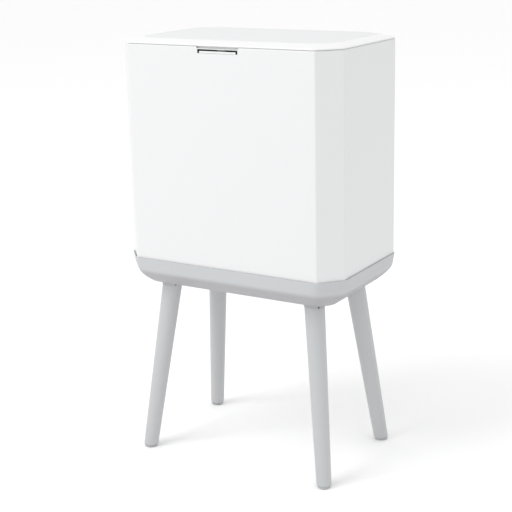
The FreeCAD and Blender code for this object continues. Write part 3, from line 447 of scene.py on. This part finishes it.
# Below the crease the tray's grey is painted darker and a little purple, as painted shade on the lower band,
# which faces the floor.
tray_plastic = coated("tray_plastic", grey(0.492, -0.026), 0.5, 0.015, 2200.0, 0.00005,
                      painted_shade_band=((0.378, 0.374, 0.390, 1.0), CREASE_Z + 0.002, 0.008))
tray = build("moulded_tray", *skin(list(reversed(inner_rings)) + tray_rings), tray_plastic, 24.0)
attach(tray, "cabinet")
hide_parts("base_tray")

# ---- Leg collars -----------------------------------------------------------------------------------
# Moulded sockets under the tray that the legs plug into. Each has two short slits at its lower edge,
# which show where the leg's twist lock has closed.

COLLAR_RADIUS = 0.0174
COLLAR_SOFT = 0.0006
COLLAR_SIDES = 72
SLIT_HALF = math.radians(3.4)
SLIT_TURN = math.radians(52.0)
SLITS = [(-0.5 * math.pi + side * SLIT_TURN) % (2.0 * math.pi) for side in (-1, 1)]
SLIT_DEEP = 0.0014
SLIT_TALL = 0.0036


def collar_middle(sx, sy, z):
    """The collar's axis at a height, which is the leg's axis carried on."""
    lean = (LEG_FOOT - LEG_TOP) / COLLAR_Z
    rise = z - COLLAR_Z
    return Vector((sx * (LEG_TOP.x - lean.x * rise), sy * (LEG_TOP.y - lean.y * rise)))


def collar_ring(sx, sy, z, radius, slit_depth):
    """Level section of a collar, set back at its two slits."""
    middle = collar_middle(sx, sy, z)
    angles = [2.0 * math.pi * i / COLLAR_SIDES for i in range(COLLAR_SIDES)]
    for slit in SLITS:
        angles = [angle for angle in angles if abs(angle - slit) > SLIT_HALF + 0.02]
        angles += [slit - SLIT_HALF - 0.002, slit - SLIT_HALF, slit,
                   slit + SLIT_HALF, slit + SLIT_HALF + 0.002]
    ring = []
    for angle in sorted(angles):
        deep = any(abs(angle - slit) < SLIT_HALF + 0.001 for slit in SLITS)
        reach = radius - (slit_depth if deep else 0.0)
        ring.append((middle.x + reach * math.cos(angle), middle.y + reach * math.sin(angle), z))
    return ring


collar_plastic = coated("collar_plastic", grey(0.43, -0.020), 0.5, 0.015, 2200.0, 0.00005)
# Near-black finish for the slit floors: painted shade in the recesses.
slit_painted_shade = coated("slit_painted_shade", grey(0.035), 0.6, 0.1, 2600.0, 0.00005)
for corner, sx, sy in CORNERS:
    slit_z = COLLAR_Z + SLIT_TALL
    collar = build("leg_collar_" + corner, *skin([
        collar_ring(sx, sy, COLLAR_Z + 0.0001, COLLAR_RADIUS - COLLAR_SOFT, SLIT_DEEP),
        collar_ring(sx, sy, COLLAR_Z + COLLAR_SOFT, COLLAR_RADIUS, SLIT_DEEP),
        collar_ring(sx, sy, slit_z, COLLAR_RADIUS, SLIT_DEEP),
        collar_ring(sx, sy, slit_z + 0.00002, COLLAR_RADIUS, 0.0),
        collar_ring(sx, sy, BELLY_Z + 0.004, COLLAR_RADIUS + 0.0004, 0.0)]), collar_plastic, 30.0)
    # The second slot paints shade on the slit floors.
    collar.data.materials.append(slit_painted_shade)
    for face in collar.data.polygons:
        reach = (face.center.xy - collar_middle(sx, sy, face.center.z)).length
        depth = (COLLAR_RADIUS - reach) / SLIT_DEEP
        if face.center.z < slit_z + 0.00001 and 0.9 < depth < 1.05:
            face.material_index = 1
    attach(collar, "cabinet")

# ---- Sleeve and what closes it below ---------------------------------------------------------------
# One folded sheet of white powder-coated steel with chamfered corners and a rolled top edge. It
# stands on the tray's ledge. Eight screws and a loose floor panel finish it inside.

white_powder = coated("white_powder", grey(0.695, -0.006), 0.40, 0.006, 1300.0, 0.00005, coat_weight=0.15,
                      coat_roughness=0.2)
wear("body_shell", white_powder)
wear("base_screws", zinc)
sheet_steel = bright_metal("sheet_steel", grey(0.58, -0.01), 0.42, (0.05, 1.0, 1.0))
wear("floor_panel", sheet_steel)

# ---- Top frame -------------------------------------------------------------------------------------
# White moulding in the sleeve's mouth. It carries the finger scoop, the hinge knuckles and four
# rubber buttons that the lid closes on.

frame_plastic = coated("frame_plastic", grey(0.68, -0.004), 0.45, 0.012, 2200.0, 0.00005)
soft_rubber = coated("soft_rubber", grey(0.035), 0.7, 0.08, 3000.0, 0.00008)
wear("top_frame", frame_plastic)
wear("lid_buffers", soft_rubber)

# ---- Hinges and latch ------------------------------------------------------------------------------
# Steel pins and wire springs in the two rear hinges, and a black latch housing with its hook, pins
# and springs behind the release button.

pin_steel = bright_metal("pin_steel", grey(0.66, 0.0), 0.26, (0.08, 1.0, 1.0))
spring_wire = bright_metal("spring_wire", grey(0.45, 0.01), 0.30, (1.0, 1.0, 1.0))
latch_black = coated("latch_black", grey(0.02), 0.45, 0.1, 2600.0, 0.00005)
for node in ("hinge_pin_left", "hinge_pin_right", "button_pin", "hook_pin"):
    wear(node, pin_steel)
for node in ("lid_spring_left", "lid_spring_right", "button_spring", "hook_spring"):
    wear(node, spring_wire)
for node in ("latch_housing", "latch_hook"):
    wear(node, latch_black)
wear("housing_screws", zinc)

# ---- Release button --------------------------------------------------------------------------------
# White moulded tab in the sleeve's cut-out. It rocks inward about its lower edge.

button_white = coated("button_white", grey(0.72, -0.002), 0.3, 0.006, 2400.0, 0.00003, coat_weight=0.2,
                      coat_roughness=0.15)
wear("release_button", button_white)

# ---- Bucket ----------------------------------------------------------------------------------------
# Loose tapered bucket in dark grey plastic, which stands on the floor panel. Its flange has a finger
# grip on the left and on the right.

bucket_plastic = coated("bucket_plastic", grey(0.115, -0.01), 0.48, 0.03, 1800.0, 0.00008)
bucket_low, bucket_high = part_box("inner_bucket")
BUCKET_X = bucket_high.x
BUCKET_FRONT = bucket_low.y
BUCKET_BACK = bucket_high.y
BUCKET_TOP = bucket_high.z
BUCKET_FLOOR = bucket_low.z
BUCKET_CHAMFER = 0.024
BUCKET_RADIUS = 0.026
BUCKET_FLANGE = 0.007
BUCKET_DRAW = 0.015         # each side draws in from top to bottom
BUCKET_WALL = 0.002
GRIP_HALF = 0.040
GRIP_DEEP = 0.0035
WALL_STEPS = 10


def bucket_ring(inset, z, grip=0.0):
    """Level section of the bucket. The two grips are set into its left and right flanges."""
    line = rounded(cut_corners(-BUCKET_X + inset, BUCKET_X - inset, BUCKET_FRONT + inset, BUCKET_BACK - inset,
                               BUCKET_CHAMFER, BUCKET_CHAMFER), BUCKET_RADIUS)
    ring = []
    for point in line:
        near = ease((GRIP_HALF - abs(point.y)) / 0.008 + 0.5) * grip
        side = 1.0 if point.x > 0 else -1.0
        shift = near * GRIP_DEEP * side if abs(point.x) > BUCKET_X - inset - 0.001 else 0.0
        ring.append((point.x - shift, point.y, z))
    return ring


def wall_inset(z, wall):
    """How far a bucket wall stands in from the flange's outer edge at a height."""
    rise = (z - BUCKET_FLOOR) / (BUCKET_TOP - BUCKET_FLOOR)
    return BUCKET_FLANGE + wall + BUCKET_DRAW * (1.0 - rise)


outside = ((0.0045, BUCKET_FLOOR), (0.0012, BUCKET_FLOOR + 0.0012), (0.0, BUCKET_FLOOR + 0.0045))
bucket_rings = [bucket_ring(wall_inset(z, more), z) for more, z in outside]
for step in range(1, WALL_STEPS + 1):
    z = BUCKET_FLOOR + 0.0045 + (BUCKET_TOP - BUCKET_FLOOR - 0.0085) * step / WALL_STEPS
    bucket_rings.append(bucket_ring(wall_inset(z, 0.0), z))
for inset, drop, grip in ((0.0045, 0.0024, 1.0), (0.0016, 0.0026, 1.0), (0.0014, 0.0052, 1.0),
                          (0.0003, 0.0054, 1.0), (0.0, 0.0046, 1.0), (0.0, 0.0014, 1.0),
                          (0.0004, 0.0004, 1.0), (0.0014, 0.0, 1.0), (0.0055, 0.0, 1.0),
                          (0.0082, 0.0004, 0.0), (0.0090, 0.0014, 0.0)):
    bucket_rings.append(bucket_ring(inset, BUCKET_TOP - drop, grip))
for step in range(WALL_STEPS + 1):
    z = BUCKET_TOP - 0.004 - (BUCKET_TOP - BUCKET_FLOOR - 0.011) * step / WALL_STEPS
    bucket_rings.append(bucket_ring(wall_inset(z, BUCKET_WALL), z))
for more, rise in ((0.0026, 0.0045), (0.0045, 0.0026), (0.0075, 0.0020)):
    bucket_rings.append(bucket_ring(wall_inset(BUCKET_FLOOR + rise, more), BUCKET_FLOOR + rise))
bucket = build("lift_out_bucket", *skin(bucket_rings), bucket_plastic, 40.0)
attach(bucket, "cabinet")
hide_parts("inner_bucket")

# ---- Lid -------------------------------------------------------------------------------------------
# White moulded lid with a sloped border round an inlaid sheet. A white liner closes it below, and a
# steel catch is screwed on at the front. Two knuckles at the back turn on the hinge pins.

lid_white = coated("lid_white", grey(0.74, -0.001), 0.30, 0.005, 2400.0, 0.00003, coat_weight=0.25,
                   coat_roughness=0.15)
lid_sheet = coated("lid_sheet", grey(0.675, -0.008), 0.48, 0.008, 3000.0, 0.00005)
panel_low, panel_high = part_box("lid_panel")
LID_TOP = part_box("lid_skin")[1].z
LID_EDGE = 0.0019
LID_CROWN = 0.0050
LID_UNDER = LID_TOP - LID_CROWN - LID_EDGE
LID_RADIUS = 0.012
PANEL_CHAMFER = 0.026
PANEL_RADIUS = 0.040
PANEL_JOINT = 0.0002
CROWN_STEPS = 12
CROWN_BULGE = 0.0005
LID_SEAT = 0.0200           # flat underside at the lid's rim
RIM_BREAK = 0.0002
EDGE_SOFT = 0.0012
LIP_SOFT = 0.0004

edge_line = sleeve_line(0.0, LID_RADIUS)
panel_line = rounded(cut_corners(panel_low.x - PANEL_JOINT, panel_high.x + PANEL_JOINT,
                                 panel_low.y - PANEL_JOINT, panel_high.y + PANEL_JOINT,
                                 PANEL_CHAMFER, PANEL_CHAMFER), PANEL_RADIUS)


def border_ring(part, z):
    """Ring a given part of the way from the lid's outer edge to the inlaid panel."""
    ring = []
    for outer, inner in zip(edge_line, panel_line):
        spot = outer.lerp(inner, part)
        ring.append((spot.x, spot.y, z))
    return ring


lid_rings = [level(sleeve_line(-LID_SEAT, LID_RADIUS), LID_UNDER),
             level(sleeve_line(-RIM_BREAK, LID_RADIUS), LID_UNDER),
             border_ring(0.0, LID_UNDER + RIM_BREAK)]
for step in range(5):
    turn = 0.5 * math.pi * step / 4
    lid_rings.append(level(sleeve_line(-EDGE_SOFT * (1.0 - math.cos(turn)), LID_RADIUS),
                           LID_UNDER + LID_EDGE - EDGE_SOFT * (0.75 - 0.95 * math.sin(turn))))
for step in range(1, CROWN_STEPS + 1):
    part = step / CROWN_STEPS
    rise = LID_CROWN * part + CROWN_BULGE * math.sin(math.pi * part)
    if step < CROWN_STEPS:
        lid_rings.append(border_ring(0.04 + 0.95 * part, LID_UNDER + LID_EDGE + rise))
lid_rings.append(border_ring(0.995, LID_TOP))
lid_rings.append(border_ring(1.0, LID_TOP - LIP_SOFT))
lid_rings.append(border_ring(1.0, panel_low.z))
lid_cover = build("lid_cover", *skin(lid_rings), lid_white, 50.0)
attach(lid_cover, "lid")
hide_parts("lid_skin")

HINGE_Y = 0.122
HINGE_Z = 0.6977
KNUCKLE_RADIUS = 0.0034
BORE_RADIUS = 0.00155
KNUCKLE_LENGTH = 0.010
KNUCKLE_CHAMFER = 0.0004
KNUCKLE_SIDES = 48
KNUCKLE_ROOT = 0.0008       # how far the neck reaches up into the lid
KNUCKLE_BACK = 0.003
KNUCKLE_STARTS = (("left", -0.149), ("right", 0.1273))


def knuckle_ring(x, shrink, bore=False):
    """Section of a lid knuckle: a round eye with a square neck that runs up into the lid."""
    ring = []
    for i in range(KNUCKLE_SIDES):
        angle = 2.0 * math.pi * i / KNUCKLE_SIDES
        reach = BORE_RADIUS
        if not bore:
            reach = KNUCKLE_RADIUS
            if math.sin(angle) > 0:
                wide = KNUCKLE_RADIUS / max(abs(math.cos(angle)), 1e-6)
                tall = (LID_UNDER + KNUCKLE_ROOT - HINGE_Z) / math.sin(angle)
                reach = min(wide, tall)
            reach -= shrink
        ring.append((x, HINGE_Y + min(reach * math.cos(angle), KNUCKLE_BACK),
                     HINGE_Z + reach * math.sin(angle)))
    return ring


for side, x0 in KNUCKLE_STARTS:
    x1 = x0 + KNUCKLE_LENGTH
    knuckle = build("lid_knuckle_" + side, *skin([
        knuckle_ring(x0, 0, True), knuckle_ring(x0, KNUCKLE_CHAMFER), knuckle_ring(x0 + KNUCKLE_CHAMFER, 0),
        knuckle_ring(x1 - KNUCKLE_CHAMFER, 0), knuckle_ring(x1, KNUCKLE_CHAMFER), knuckle_ring(x1, 0, True),
        knuckle_ring(x0, 0, True)], closed=False), lid_white)
    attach(knuckle, "lid")
    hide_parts("lid_skin")
wear("lid_panel", lid_sheet)
wear("lid_liner", frame_plastic)
for node in ("lid_screws", "catch_screws"):
    wear(node, zinc)
wear("lid_catch", sheet_steel)

# ---- Floor, light and camera -----------------------------------------------------------------------
# Plain pale floor, flat in every direction. One soft square lamp stands at the front left, above the
# lid, and a white sky lights the rest.

floor_finish = coated("floor_finish", grey(0.97), 0.8, 0.004, 300.0, 0.00002)
FLOOR_SIZE = 30.0
floor = build("studio_floor", [(-FLOOR_SIZE, -FLOOR_SIZE, 0), (FLOOR_SIZE, -FLOOR_SIZE, 0),
                               (FLOOR_SIZE, FLOOR_SIZE, 0), (-FLOOR_SIZE, FLOOR_SIZE, 0)],
              [(0, 1, 2, 3)], floor_finish)


def soft_lamp(name, place, aim, size, watts):
    """Square area lamp turned toward a point."""
    data = bpy.data.lights.new(name, "AREA")
    data.size = size
    data.energy = watts
    lamp = bpy.data.objects.new(name, data)
    lamp.location = place
    lamp.rotation_euler = (Vector(aim) - Vector(place)).to_track_quat("-Z", "Y").to_euler()
    bpy.context.scene.collection.objects.link(lamp)


soft_lamp("key_lamp", (-1.2, -2.0, 3.0), (0, 0, 0.4), 1.6, 43.0)
world = bpy.data.worlds.new("studio")
world.use_nodes = True
world.node_tree.nodes["Background"].inputs["Color"].default_value = (1.0, 1.0, 1.0, 1.0)
world.node_tree.nodes["Background"].inputs["Strength"].default_value = 1.0
bpy.context.scene.world = world
bpy.context.scene.view_settings.view_transform = "Standard"

AZIMUTH = math.radians(30.76)
ELEVATION = math.radians(14.385)
ROLL = math.radians(-1.104)
DISTANCE = 2.03545
AIM = Vector((0.00161, 0.0, 0.38216))
SENSOR = 36.0
FOCAL_IN_FRAMES = 1213.09 / 512.0
SHIFT_X = -7.15 / 512.0
SHIFT_Y = -25.05 / 512.0
back = Vector((math.sin(AZIMUTH) * math.cos(ELEVATION), -math.cos(AZIMUTH) * math.cos(ELEVATION),
               math.sin(ELEVATION)))
right = Vector((0, 0, 1)).cross(back).normalized()
up = back.cross(right)
turned_right = right * math.cos(ROLL) + up * math.sin(ROLL)
turned_up = up * math.cos(ROLL) - right * math.sin(ROLL)
camera_data = bpy.data.cameras.new("camera")
camera_data.sensor_width = SENSOR
camera_data.lens = SENSOR * FOCAL_IN_FRAMES
camera_data.shift_x = SHIFT_X
camera_data.shift_y = SHIFT_Y
camera = bpy.data.objects.new("camera", camera_data)
camera.matrix_world = Matrix.Translation(AIM + back * DISTANCE) @ Matrix(
    (turned_right, turned_up, back)).transposed().to_4x4()
bpy.context.scene.collection.objects.link(camera)
bpy.context.scene.camera = camera
